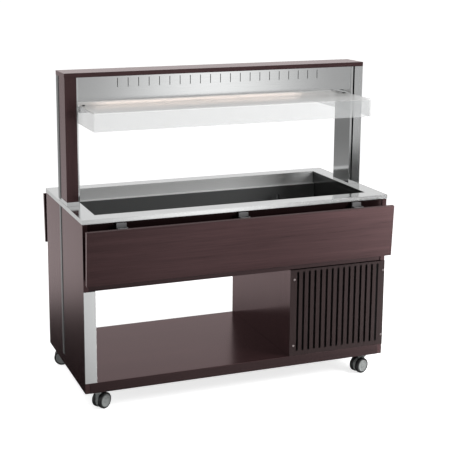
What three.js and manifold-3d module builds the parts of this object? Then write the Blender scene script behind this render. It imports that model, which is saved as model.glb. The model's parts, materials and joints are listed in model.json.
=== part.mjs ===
// Mobile salad bar: a chilled well in a panelled body on castors, a folding tray slide on each
// long side, and a lit bridge with a clear sneeze guard over the well.
// Millimetres. X runs along the bar, -Y is the front and +Z is up. The origin lies on the floor
// under the middle of the bar.

import * as THREE from 'three';
import { mergeVertices } from 'three/addons/utils/BufferGeometryUtils.js';
import Module from 'manifold-3d';

const wasm = await Module();
wasm.setup();

// ---------------------------------------------------------------- driving dimensions

const FIT = 0.3;                  // gap between pieces that sit against each other
const RUNNING_FIT = 0.3;          // radial gap round a shaft or pin
const SHEET = 1.5;                // stainless sheet

const LENGTH = 1495;              // worktop
const DEPTH = 700;
const WORKTOP_HEIGHT = 895;
const WORKTOP_EDGE = 20;
const BODY_INSET = 2;             // body faces behind the worktop's edge

const BASE_HEIGHT = 48;
const DECK_BOARD = 19;
const FASCIA_BOARD = 18;

const END_SKIN = 22;
const END_CAVITY = 24;
const END_LINER = 8;
const END_SEAM_Y = 40;            // joint between the two end panels
const END_SEAM_GAP = 4;
const POST_DEPTH = 38;
const POST_WALL = 2;

const APRON_HEIGHT = 304;
const APRON_BOARD = 16;
const APRON_RECESS = 6;
const COMPARTMENT_LENGTH = 497.5; // body's right face to the divider's face towards the shelf
const DIVIDER_BOARD = 16;
const UNDER_BOARD = 12;

const WELL_END_STRIP = 77.5;      // worktop left at each end of the well's opening
const WELL_SIDE_STRIP = 76.5;
const WELL_BAND = 60;             // worktop down to the ledge that carries the pans
const WELL_LEDGE = 17;            // along the front and the back; the ends go straight down
const WELL_DEPTH = 200;
const WELL_FLANGE = 18;
const FOAM = 40;
const FOAM_END = 25;              // thinner at the ends, inside the steel legs
const COIL_PIPE_R = 5;
const COIL_PASSES = 6;
const COIL_PITCH = 68;
const COIL_LEFT_MARGIN = 110;     // tank's end to the centres of the half turns
const COIL_RIGHT_MARGIN = 70;     // tank's end to the pipe's ends
const COIL_BEND = 15;             // radius where the ends turn down
const DRAIN_INSET_X = 230;        // from the tank's right end
const DRAIN_INSET_Y = 41.5;       // from the tank's back wall
const DRAIN_WALL = 4;
const DRAIN_LENGTH = 90;
const STANDPIPE_R = 9;
const STANDPIPE_WALL = 2;
const STANDPIPE_HEIGHT = 105;     // above the tank's floor
const STANDPIPE_PLUG = 35;        // length inside the drain
const STANDPIPE_COLLAR = 4;

const PILLAR_INSET = 1.5;
const PILLAR_WIDTH = 61;
const PILLAR_DEPTH = 158;
const PILLAR_HEIGHT = 585;
const PLINTH_HEIGHT = 19;
const PILLAR_TUBE_X = 42;
const PILLAR_TUBE_Y = 40;
const PILLAR_SEAM = 9;
const CLADDING_BOARD = 13;
const COVER_HEM_WOOD_SIDE = 6.5;
const COVER_HEM_STEEL_SIDE = 10;
const TOP_BOARD = 20;
const TOP_BOARD_OVERHANG = 1;     // past the pillars, front and back

const BRIDGE_HEIGHT = 110;
const BRIDGE_SETBACK = 2;         // faces behind the pillars' faces
const BRIDGE_RETURN = 31;
const SLOT_COUNT = 21;
const SLOT_PITCH = 50;
const SLOT_WIDTH = 3;
const SLOT_HEIGHT = 41;
const SLOT_TOP_MARGIN = 9;
const TRAY_HEIGHT = 50;
const TUBE_R = 13;
const TUBE_INSET = 84.7;          // bridge's left end to the tube's
const TUBE_LENGTH = 1060;
const TUBE_PROUD = 3;             // glass above the tray's open mouth
const SOCKET_THICKNESS = 13;
const SOCKET_WIDTH = 28;
const BALLAST_LENGTH = 170;
const BALLAST_WIDTH = 76;
const BALLAST_HEIGHT = 30;        // above the tray
const BALLAST_INSET = 13;         // from the bridge's right end

const GUARD_DROP = 20;            // bridge's underside down to the guard's top
const GUARD_SHEET = 5;
const GUARD_DEPTH = 594;
const GUARD_LIP = 85;
const GUARD_RAIL = 11.6;
const GUARD_RAIL_HEIGHT = 23;
const GUARD_RAIL_LENGTH = 150;

const GRILLE_SLOTS = 15;
const GRILLE_PITCH = 30;
const GRILLE_SLOT_WIDTH = 11;
const GRILLE_MARGIN_TOP = 12;
const GRILLE_MARGIN_BOTTOM = 23;
const BACK_SLOT_HEIGHT = 250;

const FLAP_HEIGHT = 244;
const FLAP_BOARD = 19;
const FLAP_TILT = 3.3;            // degrees, lower edge towards the body
const HINGE_REACH = 37;           // hinge line in front of the body's face
const HINGE_DROP = 49;            // hinge line below the worktop's surface
const HINGE_TO_BOARD = 14;        // hinge line to the board's back face
const HINGE_TO_EDGE = 11;         // hinge line to the board's upper edge
const HINGE_INSET = 170.5;        // body's end to the middle of an outer hinge
const HINGE_PIN_R = 4;
const KNUCKLE_R = 9;
const EAR_R = 10;
const EAR_THICKNESS = 6;
const ARM_WIDTH = 33;
const ARM_LENGTH = 150;
const ARM_BAR = 4;
const STIFFENER = 30;
const STIFFENER_INSET = 45.5;     // body's end to the end of the stiffener and the rail
const BRACKET_WIDTH = 31;
const BRACKET_ARM = 10;
const BRACKET_TOP_GAP = 3;        // bracket below the worktop's folded edge
const RAIL_BAR = 2.7;
const RAIL_HEIGHT = 40;
const RAIL_DROP = 95;             // worktop's surface down to the rail's lower edge

const CASTOR_HEIGHT = 100;
const CASTOR_INSET_X = 73.5;      // worktop's edge to the castor's stem
const CASTOR_INSET_Y = 58;
const CASTOR_TRAIL = 24;
const CASTOR_PLATE = 60;
const CASTOR_PLATE_THICKNESS = 3;
const WHEEL_R = 37.5;
const WHEEL_WIDTH = 21;
const WHEEL_GAP = 16;
const WHEEL_FACE_R = 26;          // raised disc on each outer side
const WHEEL_CROWN = 2;
const FORK_CLEARANCE = 0.5;       // housing to each wheel
const FORK_R = 33;
const NECK_R = 17;
const NECK_GAP = 0.5;
const STEM_R = 6;
const STEM_LENGTH = 17;
const AXLE_R = 4;
const BEAM_WIDTH = 106;
const BEAM_WALL = 3;

const COMPRESSOR_INSET_X = 106;   // divider to the middle
const COMPRESSOR_INSET_Y = 208;   // body's back face to the middle
const COMPRESSOR_R = 75;
const COMPRESSOR_HEIGHT = 180;
const COMPRESSOR_FOOT = 7;
const COMPRESSOR_PLATE = 4;
const CONDENSER_INSET = 66;       // divider to the condenser's end
const CONDENSER_LENGTH = 300;
const CONDENSER_HEIGHT = 260;
const CONDENSER_DEPTH = 60;
const CONDENSER_FINS = 11;
const CONDENSER_PIPES = 5;
const CONDENSER_SETBACK = 15;     // behind the front grille
const FAN_HOLE_R = 105;
const FAN_R = 98;
const FAN_HUB_R = 25;
const FAN_HUB_LENGTH = 25;
const FAN_BLADES = 5;
const FAN_BLADE_WIDTH = 42;
const FAN_BLADE_ANGLE = 32;
const SHROUD_DEPTH = 12;
const FAN_TO_SHROUD = 10;
const MOTOR_R = 35;
const MOTOR_LENGTH = 45;
const MOTOR_GAP = 8;
const MOTOR_SHAFT_R = 4;

const PANEL_LENGTH = 190;
const PANEL_HEIGHT = 84;
const PANEL_THICKNESS = 3;
const PANEL_BOX = 50;
const PANEL_INSET = 241;          // divider to the panel's middle
const PANEL_TOP_MARGIN = 24;
const PANEL_LIP = 7;
const KNOB_R = 16;
const KNOB_LENGTH = 15;
const KNOB_OFFSET = -55;
const KNOB_SHAFT_R = 3;
const SWITCH_WIDTH = 14;
const SWITCH_HEIGHT = 24;
const SWITCH_PROUD = 3;
const SWITCH_CLEARANCE = 1.5;     // rocker's end inside its pocket
const SWITCH_TILT = 8;            // degrees, off position
const SWITCH_OFFSETS = { power_switch: 15, light_switch: 55 };
const GLAND_INSET = 26;           // divider to the gland's middle
const GLAND_RISE = 52;            // above the base
const GLAND_R = 11;
const GLAND_BORE_R = 4;
const GLAND_LENGTH = 13;

// ---------------------------------------------------------------- places worked out from them

const bodyX = LENGTH / 2 - BODY_INSET;
const bodyY = DEPTH / 2 - BODY_INSET;
const baseBottom = CASTOR_HEIGHT;
const baseTop = baseBottom + BASE_HEIGHT;
const worktopBottom = WORKTOP_HEIGHT - WORKTOP_EDGE;
const apronBottom = worktopBottom - APRON_HEIGHT;
const skinInner = bodyX - END_SKIN;
const linerOuter = skinInner - END_CAVITY;
const wallInner = linerOuter - END_LINER;
const apronFront = bodyY - APRON_RECESS;
const apronBack = apronFront - APRON_BOARD;
const wallTop = worktopBottom - FIT;
const shelfFloor = baseTop + FIT;
const shelfCeiling = apronBottom - FIT;
const dividerX = bodyX - COMPARTMENT_LENGTH;
const dividerRight = dividerX + DIVIDER_BOARD;

const wellX = LENGTH / 2 - WELL_END_STRIP;
const wellY = DEPTH / 2 - WELL_SIDE_STRIP;
const ledgeZ = WORKTOP_HEIGHT - WELL_BAND;
const tankY = wellY - WELL_LEDGE;
const tankFloor = WORKTOP_HEIGHT - WELL_DEPTH;
const coilZ = tankFloor - SHEET - FIT - COIL_PIPE_R;
const foamFloor = coilZ - COIL_PIPE_R - FIT;
const foamBottom = foamFloor - FOAM;
const coilEndX = wellX - COIL_RIGHT_MARGIN;
const drainR = STANDPIPE_R + RUNNING_FIT;
const drainX = wellX - DRAIN_INSET_X;
const drainY = tankY - DRAIN_INSET_Y;

const pillarOuter = LENGTH / 2 - PILLAR_INSET;
const pillarInner = pillarOuter - PILLAR_WIDTH;
const pillarY = PILLAR_DEPTH / 2;
const pillarBottom = WORKTOP_HEIGHT + FIT;
const boardBottom = WORKTOP_HEIGHT + PILLAR_HEIGHT;
const pillarTop = boardBottom - FIT;
const bridgeX = pillarInner - FIT;
const bridgeY = pillarY - BRIDGE_SETBACK;
const bridgeBottom = boardBottom - BRIDGE_HEIGHT;
const trayY = bridgeY - BRIDGE_RETURN - FIT;
const tubeLeft = -bridgeX + TUBE_INSET;
const tubeZ = bridgeBottom + TUBE_PROUD + TUBE_R;
const guardTop = bridgeBottom - GUARD_DROP;
const guardX = pillarInner - GUARD_RAIL - FIT;
const guardY = GUARD_DEPTH / 2;

const hingeY = bodyY + HINGE_REACH;
const hingeZ = WORKTOP_HEIGHT - HINGE_DROP;
const grilleBack = bodyY + FIT;
const grilleFront = grilleBack + SHEET;
const grilleMiddle = (dividerX + bodyX) / 2;
const panelX = dividerRight + PANEL_INSET;
const panelZ = shelfCeiling - PANEL_TOP_MARGIN - PANEL_HEIGHT / 2;
const panelBack = grilleFront + FIT;
const panelFace = panelBack + PANEL_THICKNESS;
const glandX = dividerRight + GLAND_INSET;
const glandZ = baseTop + GLAND_RISE;
const condenserX = dividerRight + CONDENSER_INSET + CONDENSER_LENGTH / 2;
const condenserFront = bodyY - CONDENSER_SETBACK;
const shroudFront = condenserFront - CONDENSER_DEPTH - FIT;
const shroudBack = shroudFront - SHROUD_DEPTH;
const fanFront = shroudBack - FAN_TO_SHROUD;
const motorFront = fanFront - FAN_HUB_LENGTH - MOTOR_GAP;
const condenserBottom = shelfFloor;
const condenserZ = condenserBottom + CONDENSER_HEIGHT / 2;
const castorX = LENGTH / 2 - CASTOR_INSET_X;
const castorY = DEPTH / 2 - CASTOR_INSET_Y;
const forkHalf = WHEEL_GAP / 2 - FORK_CLEARANCE;

// ---------------------------------------------------------------- finishes

function finish(color, roughness, metalness) {
  return new THREE.MeshStandardMaterial({ color, roughness, metalness, flatShading: true });
}

const wood = finish(0x5c4848, 0.45, 0);
const woodPlain = finish(0x9a8468, 0.8, 0);
const steel = finish(0xcfd0d0, 0.3, 0.9);
const darkSteel = finish(0x4a3a3a, 0.5, 0.3);
const greySteel = finish(0x9a9c9c, 0.45, 0.6);
const foam = finish(0xe3dcc2, 0.9, 0);
const copper = finish(0xb87345, 0.35, 0.9);
const black = finish(0x141414, 0.5, 0);
const white = finish(0xf2f0ea, 0.5, 0);
const glow = finish(0xffe6cc, 0.4, 0);
const wheelGrey = finish(0xa3a6a6, 0.5, 0);
const acrylic = new THREE.MeshStandardMaterial({
  color: 0xe8eeee,
  roughness: 0.05,
  metalness: 0,
  transparent: true,
  opacity: 0.3,
});

// ---------------------------------------------------------------- shape helpers

// A box given by two opposite corners, in any order.
function block([xa, xb], [ya, yb], [za, zb]) {
  const size = [Math.abs(xb - xa), Math.abs(yb - ya), Math.abs(zb - za)];
  const geometry = new THREE.BoxGeometry(...size);
  return geometry.translate((xa + xb) / 2, (ya + yb) / 2, (za + zb) / 2);
}

// A box centred on X and Y.
function centredBlock(halfX, halfY, z) {
  return block([-halfX, halfX], [-halfY, halfY], z);
}

const TURN = {
  x: (geometry) => geometry.rotateZ(-Math.PI / 2),
  y: (geometry) => geometry,
  z: (geometry) => geometry.rotateX(Math.PI / 2),
};

// A round bar along an axis, from a to b, through the point given by the other two coordinates.
function rod(axis, radius, [a, b], [p, q], sides = 16) {
  const geometry = TURN[axis](new THREE.CylinderGeometry(radius, radius, Math.abs(b - a), sides));
  const middle = (a + b) / 2;
  const place = { x: [middle, p, q], y: [p, middle, q], z: [p, q, middle] }[axis];
  return geometry.translate(...place);
}

// A turned piece: pairs of radius and height, turned round Z.
function turned(profile, sides = 24) {
  const points = profile.map(([radius, height]) => new THREE.Vector2(radius, height));
  return new THREE.LatheGeometry(points, sides).rotateX(Math.PI / 2);
}

function solidOf(geometry) {
  const bare = geometry.clone();
  bare.deleteAttribute('normal');
  bare.deleteAttribute('uv');
  const merged = mergeVertices(bare, 1e-4);
  return new wasm.Manifold(new wasm.Mesh({
    numProp: 3,
    vertProperties: Float32Array.from(merged.attributes.position.array),
    triVerts: Uint32Array.from(merged.index.array),
  }));
}

function geometryOf(solid) {
  const mesh = solid.getMesh();
  const geometry = new THREE.BufferGeometry();
  geometry.setAttribute('position', new THREE.BufferAttribute(mesh.vertProperties, 3));
  geometry.setIndex(new THREE.BufferAttribute(mesh.triVerts, 1));
  geometry.computeVertexNormals();
  return geometry;
}

function join(...geometries) {
  return geometryOf(geometries.map(solidOf).reduce((sum, next) => sum.add(next)));
}

function cut(geometry, ...tools) {
  return geometryOf(tools.map(solidOf).reduce((rest, tool) => rest.subtract(tool), solidOf(geometry)));
}

// A pipe of one radius along a list of points, closed at both ends.
class Route extends THREE.Curve {
  constructor(points) {
    super();
    this.points = points;
  }

  getPoint(t) {
    const place = Math.min(Math.max(t, 0), 1) * (this.points.length - 1);
    const index = Math.min(Math.floor(place), this.points.length - 2);
    return this.points[index].clone().lerp(this.points[index + 1], place - index);
  }

  getPointAt(t) {
    return this.getPoint(t);
  }

  getTangentAt(t) {
    return this.getTangent(t);
  }
}

function pipe(points, radius, sides) {
  const section = new THREE.Shape();
  for (let side = 0; side < sides; side += 1) {
    const angle = (2 * Math.PI * side) / sides;
    const corner = [radius * Math.cos(angle), radius * Math.sin(angle)];
    if (side === 0) {
      section.moveTo(...corner);
    } else {
      section.lineTo(...corner);
    }
  }
  section.closePath();
  const extrudePath = new Route(points);
  return new THREE.ExtrudeGeometry(section, { steps: points.length - 1, extrudePath, curveSegments: 1 });
}

// ---------------------------------------------------------------- scene helpers

const bar = new THREE.Group();

// Adds a named piece whose geometry is given in its parent's frame.
function place(parent, name, material, geometry) {
  geometry.computeBoundingBox();
  const centre = geometry.boundingBox.getCenter(new THREE.Vector3());
  geometry.translate(-centre.x, -centre.y, -centre.z);
  const mesh = new THREE.Mesh(geometry, material);
  mesh.name = name;
  mesh.position.copy(centre);
  parent.add(mesh);
}

function groupAt(parent, position, rotation = [0, 0, 0]) {
  const group = new THREE.Group();
  group.position.set(...position);
  group.rotation.set(...rotation);
  parent.add(group);
  return group;
}

// The bar looks the same after half a turn about Z, apart from its machine compartment.
const halfTurns = { left: 0, right: Math.PI };
const sides = { left: -1, right: 1 };
const ends = { front: -1, back: 1 };

// ---------------------------------------------------------------- body

function baseTray() {
  const x = skinInner - FIT;
  const deck = centredBlock(x, bodyY, [baseTop - DECK_BOARD, baseTop]);
  const fascias = Object.values(ends).map((end) => (
    block([-x, x], [end * bodyY, end * (bodyY - FASCIA_BOARD)], [baseBottom, baseTop])));
  return join(deck, ...fascias);
}

// A channel under the deck with two castor plates and their stems.
function castorBeam(side) {
  const deckBottom = baseTop - DECK_BOARD - FIT;
  const halfY = bodyY - FASCIA_BOARD - FIT;
  const outer = skinInner - FIT;
  const inner = outer - BEAM_WIDTH;
  const beam = block([side * inner, side * outer], [-halfY, halfY], [baseBottom, deckBottom]);
  const hollow = block(
    [side * (inner + BEAM_WALL), side * (outer - BEAM_WALL)],
    [-halfY + BEAM_WALL, halfY - BEAM_WALL],
    [baseBottom + BEAM_WALL, deckBottom + BEAM_WALL],
  );
  const plateBottom = baseBottom - CASTOR_PLATE_THICKNESS;
  const plates = Object.values(ends).flatMap((end) => {
    const x = side * castorX;
    const y = end * castorY;
    const half = CASTOR_PLATE / 2;
    return [
      block([x - half, x + half], [y - half, y + half], [plateBottom, baseBottom]),
      rod('z', STEM_R, [plateBottom - STEM_LENGTH, plateBottom], [x, y]),
    ];
  });
  return join(cut(beam, hollow), ...plates);
}

// The steel leg inside the end wall, with the edge cover that shows below the apron.
function cornerPost(side, end) {
  const x = [side * (skinInner - FIT), side * (linerOuter + FIT)];
  const legFront = apronBack - FIT;
  const coverBack = bodyY - SHEET;
  const leg = block(x, [end * legFront, end * (legFront - POST_DEPTH)], [shelfFloor, wallTop]);
  const web = block(x, [end * coverBack, end * (legFront - POST_WALL)], [shelfFloor, shelfCeiling]);
  const cover = block(
    [side * bodyX, side * wallInner],
    [end * bodyY, end * coverBack],
    [shelfFloor, shelfCeiling],
  );
  const boreX = [x[0] - side * POST_WALL, x[1] + side * POST_WALL];
  const legBore = block(
    boreX,
    [end * (legFront - POST_WALL), end * (legFront - POST_DEPTH + POST_WALL)],
    [shelfFloor - POST_WALL, wallTop + POST_WALL],
  );
  const webBore = block(
    boreX,
    [end * (coverBack - POST_WALL), end * (legFront + POST_WALL)],
    [shelfFloor - POST_WALL, shelfCeiling - POST_WALL],
  );
  return cut(join(leg, web, cover), legBore, webBore);
}

place(bar, 'base_tray', wood, baseTray());
for (const [name, side] of Object.entries(sides)) {
  place(bar, `castor_beam_${name}`, greySteel, castorBeam(side));
  const wall = groupAt(bar, [0, 0, 0], [0, 0, halfTurns[name]]);
  const skinY = bodyY - SHEET - FIT;
  const skinX = [-bodyX, -skinInner];
  const seam = END_SEAM_GAP / 2;
  const [first, second] = name === 'left' ? ['front', 'back'] : ['back', 'front'];
  place(wall, `end_panel_${name}_${first}`, wood,
    block(skinX, [-skinY, END_SEAM_Y - seam], [baseBottom, wallTop]));
  place(wall, `end_panel_${name}_${second}`, wood,
    block(skinX, [END_SEAM_Y + seam, skinY], [baseBottom, wallTop]));
  place(wall, `end_liner_${name}`, wood,
    block([-linerOuter, -wallInner], [-skinY, skinY], [shelfFloor, shelfCeiling]));
  for (const [endName, end] of Object.entries(ends)) {
    place(bar, `corner_post_${name}_${endName}`, steel, cornerPost(side, end));
  }
}
for (const [name, end] of Object.entries(ends)) {
  const x = skinInner - FIT;
  place(bar, `apron_${name}`, wood,
    block([-x, x], [end * apronFront, end * apronBack], [apronBottom, wallTop]));
}
place(bar, 'divider', wood,
  block([dividerX, dividerRight], [-bodyY, bodyY], [shelfFloor, shelfCeiling]));
place(bar, 'under_panel', wood,
  block([-linerOuter + FIT, dividerRight], [-apronBack + FIT, apronBack - FIT],
    [apronBottom, apronBottom + UNDER_BOARD]));

// ---------------------------------------------------------------- worktop and well

function worktopSkin() {
  const x = LENGTH / 2;
  const y = DEPTH / 2;
  const underTop = WORKTOP_HEIGHT - SHEET;
  const outside = centredBlock(x, y, [worktopBottom, WORKTOP_HEIGHT]);
  const underside = centredBlock(x - SHEET, y - SHEET, [worktopBottom - SHEET, underTop]);
  const rim = centredBlock(wellX + SHEET, wellY + SHEET, [worktopBottom, underTop + SHEET / 2]);
  const opening = centredBlock(wellX, wellY, [worktopBottom - SHEET, WORKTOP_HEIGHT + SHEET]);
  return cut(join(cut(outside, underside), rim), opening);
}

function worktopCore() {
  const gap = SHEET + FIT;
  const core = centredBlock(LENGTH / 2 - gap, DEPTH / 2 - gap, [worktopBottom, WORKTOP_HEIGHT - gap]);
  return cut(core, centredBlock(wellX + gap, wellY + gap, [worktopBottom - gap, WORKTOP_HEIGHT]));
}

function wellTank() {
  const flange = centredBlock(wellX + WELL_FLANGE, wellY + WELL_FLANGE, [wallTop - SHEET, wallTop]);
  const band = centredBlock(wellX + SHEET, wellY + SHEET, [ledgeZ - SHEET, wallTop]);
  const tank = centredBlock(wellX + SHEET, tankY + SHEET, [tankFloor - SHEET, ledgeZ]);
  const drain = rod('z', drainR + DRAIN_WALL, [tankFloor - DRAIN_LENGTH, tankFloor], [drainX, drainY], 24);
  const bore = rod('z', drainR, [tankFloor - DRAIN_LENGTH - SHEET, ledgeZ], [drainX, drainY], 24);
  return cut(
    join(flange, band, tank, drain),
    centredBlock(wellX, wellY, [ledgeZ, WORKTOP_HEIGHT]),
    centredBlock(wellX, tankY, [tankFloor, WORKTOP_HEIGHT]),
    bore,
  );
}

const coilStartY = (-COIL_PITCH * (COIL_PASSES - 1)) / 2 - COIL_PITCH / 4;
const coilEndY = coilStartY + COIL_PITCH * (COIL_PASSES - 1);

// Straight passes joined by half turns, with both ends bent down through the foam.
function coilRoute() {
  const bend = COIL_PITCH / 2;
  const drop = COIL_BEND;
  const turnSteps = 8;
  const dropSteps = 4;
  const points = [new THREE.Vector3(coilEndX, coilStartY, foamBottom)];
  for (let step = 0; step <= dropSteps; step += 1) {
    const angle = (Math.PI / 2) * (step / dropSteps);
    const x = coilEndX - drop * (1 - Math.cos(angle));
    points.push(new THREE.Vector3(x, coilStartY, coilZ - drop + drop * Math.sin(angle)));
  }
  const nearX = coilEndX - drop - bend;
  const farX = -wellX + COIL_LEFT_MARGIN;
  for (let pass = 0; pass < COIL_PASSES - 1; pass += 1) {
    const turnX = pass % 2 === 0 ? farX : nearX;
    const way = pass % 2 === 0 ? -1 : 1;
    const y = coilStartY + pass * COIL_PITCH + bend;
    for (let step = 0; step <= turnSteps; step += 1) {
      const angle = Math.PI * (step / turnSteps);
      points.push(new THREE.Vector3(turnX + way * bend * Math.sin(angle), y - bend * Math.cos(angle), coilZ));
    }
  }
  for (let step = dropSteps; step >= 0; step -= 1) {
    const angle = (Math.PI / 2) * (step / dropSteps);
    const x = coilEndX - drop * (1 - Math.cos(angle));
    points.push(new THREE.Vector3(x, coilEndY, coilZ - drop + drop * Math.sin(angle)));
  }
  points.push(new THREE.Vector3(coilEndX, coilEndY, foamBottom));
  return points;
}

function foamJacket() {
  const gap = SHEET + FIT;
  const outside = centredBlock(wellX + gap + FOAM_END, tankY + gap + FOAM, [foamBottom, ledgeZ - gap]);
  const inside = centredBlock(wellX + gap, tankY + gap, [foamFloor, WORKTOP_HEIGHT]);
  const height = [foamBottom - FOAM, foamFloor + FOAM];
  const holeR = COIL_PIPE_R + 2 * FIT;
  const holes = [coilStartY, coilEndY].flatMap((y) => [
    rod('z', holeR, height, [coilEndX, y], 12),
    block([coilEndX - COIL_BEND, coilEndX], [y - holeR, y + holeR], [coilZ - COIL_BEND, foamFloor + FOAM]),
  ]);
  const drainHole = rod('z', drainR + DRAIN_WALL + FIT, height, [drainX, drainY], 24);
  return cut(outside, inside, ...holes, drainHole);
}

function standpipe() {
  const outer = STANDPIPE_R;
  const inner = STANDPIPE_R - STANDPIPE_WALL;
  const collar = STANDPIPE_R + 2 * STANDPIPE_COLLAR;
  const seat = tankFloor + FIT;
  const bottom = tankFloor - STANDPIPE_PLUG;
  const top = tankFloor + STANDPIPE_HEIGHT;
  const profile = [
    [inner, bottom],
    [outer, bottom],
    [outer, seat],
    [collar, seat],
    [collar, seat + STANDPIPE_COLLAR],
    [outer, seat + STANDPIPE_COLLAR],
    [outer, top],
    [inner, top],
    [inner, bottom],
  ];
  return turned(profile).translate(drainX, drainY, 0);
}

place(bar, 'worktop', steel, worktopSkin());
place(bar, 'worktop_core', woodPlain, worktopCore());
place(bar, 'well_tank', steel, wellTank());
place(bar, 'well_insulation', foam, foamJacket());
place(bar, 'evaporator_coil', copper, pipe(coilRoute(), COIL_PIPE_R, 8));
place(bar, 'standpipe', steel, standpipe());

// ---------------------------------------------------------------- pillars, bridge and guard

// The pillar's steel tube, which shows at one corner, on its plinth.
function pillarPost() {
  const tubeX = [-pillarOuter, -pillarOuter + PILLAR_TUBE_X];
  const tubeY = [pillarY - PILLAR_TUBE_Y, pillarY];
  const plinthTop = pillarBottom + PLINTH_HEIGHT;
  const plinth = block([-pillarOuter, -pillarInner - SHEET - FIT], [-pillarY, pillarY], [pillarBottom, plinthTop]);
  const tube = block(tubeX, tubeY, [pillarBottom, pillarTop]);
  const bore = block(
    [tubeX[0] + POST_WALL, tubeX[1] - POST_WALL],
    [tubeY[0] + POST_WALL, tubeY[1] - POST_WALL],
    [plinthTop, pillarTop + POST_WALL],
  );
  return cut(join(plinth, tube), bore);
}

// Wood on one broad face and round the outer corner, up to the steel tube.
function pillarCladding() {
  const z = [pillarBottom + PLINTH_HEIGHT + FIT, pillarTop];
  const outerFace = -pillarOuter + FIT;
  const hem = -pillarInner - COVER_HEM_WOOD_SIDE;
  const seamY = pillarY - PILLAR_TUBE_Y - PILLAR_SEAM;
  return join(
    block([outerFace, hem - FIT], [-pillarY, -pillarY + CLADDING_BOARD], z),
    block([outerFace, outerFace + CLADDING_BOARD], [-pillarY, seamY], z),
  );
}

// The steel sheet on the pillar's inner side, hemmed round both edges, with the guard's rail.
function pillarCover() {
  const z = [pillarBottom, pillarTop];
  const hemZ = [pillarBottom + PLINTH_HEIGHT + FIT, pillarTop];
  const face = -pillarInner;
  const hemBack = face - COVER_HEM_STEEL_SIDE;
  const railTop = guardTop - FIT;
  return join(
    block([face - SHEET, face], [-pillarY, pillarY], z),
    block([face - COVER_HEM_WOOD_SIDE, face], [-pillarY, -pillarY + SHEET], hemZ),
    block([hemBack, face], [pillarY, pillarY - SHEET], hemZ),
    block([face, face + GUARD_RAIL], [-GUARD_RAIL_LENGTH / 2, GUARD_RAIL_LENGTH / 2],
      [railTop - GUARD_RAIL_HEIGHT, railTop]),
  );
}

// A slotted steel face with a return along its upper and lower edges.
function bridgeFace() {
  const x = [-bridgeX, bridgeX];
  const top = boardBottom - FIT;
  const returnY = [-bridgeY, -bridgeY + BRIDGE_RETURN];
  const panel = join(
    block(x, [-bridgeY, -bridgeY + SHEET], [bridgeBottom, top]),
    block(x, returnY, [bridgeBottom, bridgeBottom + SHEET]),
    block(x, returnY, [top - SHEET, top]),
  );
  const slotTop = boardBottom - SLOT_TOP_MARGIN;
  const slots = Array.from({ length: SLOT_COUNT }, (_, index) => {
    const middle = (index - (SLOT_COUNT - 1) / 2) * SLOT_PITCH;
    const width = [middle - SLOT_WIDTH / 2, middle + SLOT_WIDTH / 2];
    return block(width, [-bridgeY - SHEET, -bridgeY + 2 * SHEET], [slotTop - SLOT_HEIGHT, slotTop]);
  });
  return cut(panel, ...slots);
}

// The trough for the lamp, open below, with its two sockets and the ballast box on top.
function lampTray() {
  const top = bridgeBottom + TRAY_HEIGHT;
  const underTop = top - SHEET;
  const trough = cut(
    centredBlock(bridgeX, trayY, [bridgeBottom, top]),
    centredBlock(bridgeX + SHEET, trayY - SHEET, [bridgeBottom - SHEET, underTop]),
  );
  const socketY = [-SOCKET_WIDTH / 2, SOCKET_WIDTH / 2];
  const socketZ = [tubeZ - TUBE_R, underTop + SHEET / 2];
  const tubeRight = tubeLeft + TUBE_LENGTH;
  const leftSocket = block([tubeLeft - SOCKET_THICKNESS - FIT, tubeLeft - FIT], socketY, socketZ);
  const rightSocket = block([tubeRight + FIT, tubeRight + FIT + SOCKET_THICKNESS], socketY, socketZ);
  const ballastEnd = bridgeX - BALLAST_INSET;
  const ballast = block(
    [ballastEnd - BALLAST_LENGTH, ballastEnd],
    [-BALLAST_WIDTH / 2, BALLAST_WIDTH / 2],
    [top - SHEET / 2, top + BALLAST_HEIGHT],
  );
  return join(trough, leftSocket, rightSocket, ballast);
}

function sneezeGuard() {
  const outside = centredBlock(guardX, guardY, [guardTop - GUARD_LIP, guardTop]);
  const inside = centredBlock(
    guardX - GUARD_SHEET,
    guardY - GUARD_SHEET,
    [guardTop - GUARD_LIP - GUARD_SHEET, guardTop - GUARD_SHEET],
  );
  return cut(outside, inside);
}

for (const name of Object.keys(sides)) {
  const pillar = groupAt(bar, [0, 0, 0], [0, 0, halfTurns[name]]);
  place(pillar, `pillar_post_${name}`, steel, pillarPost());
  place(pillar, `pillar_cladding_${name}`, wood, pillarCladding());
  place(pillar, `pillar_cover_${name}`, steel, pillarCover());
}
place(bar, 'bridge_face_front', steel, bridgeFace());
place(groupAt(bar, [0, 0, 0], [0, 0, Math.PI]), 'bridge_face_back', steel, bridgeFace());
place(bar, 'lamp_tray', white, lampTray());
place(bar, 'lamp_tube', glow, rod('x', TUBE_R, [tubeLeft, tubeLeft + TUBE_LENGTH], [0, tubeZ], 20));
place(bar, 'top_board', wood,
  centredBlock(LENGTH / 2, pillarY + TOP_BOARD_OVERHANG, [boardBottom, boardBottom + TOP_BOARD]));
place(bar, 'sneeze_guard', acrylic, sneezeGuard());

// ---------------------------------------------------------------- machine compartment

function grille(end, slotBottom, slotTop, openings) {
  const plate = block(
    [dividerX, bodyX],
    [end * grilleBack, end * grilleFront],
    [shelfFloor, shelfCeiling],
  );
  const through = [end * (grilleBack - SHEET), end * (grilleFront + SHEET)];
  const slots = Array.from({ length: GRILLE_SLOTS }, (_, index) => {
    const middle = grilleMiddle + (index - (GRILLE_SLOTS - 1) / 2) * GRILLE_PITCH;
    const width = [middle - GRILLE_SLOT_WIDTH / 2, middle + GRILLE_SLOT_WIDTH / 2];
    return block(width, through, [slotBottom, slotTop]);
  });
  return cut(plate, ...slots, ...openings(through));
}

const slotBottom = shelfFloor + GRILLE_MARGIN_BOTTOM;
const panelHalfX = PANEL_LENGTH / 2;
const panelHalfZ = PANEL_HEIGHT / 2;

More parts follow.
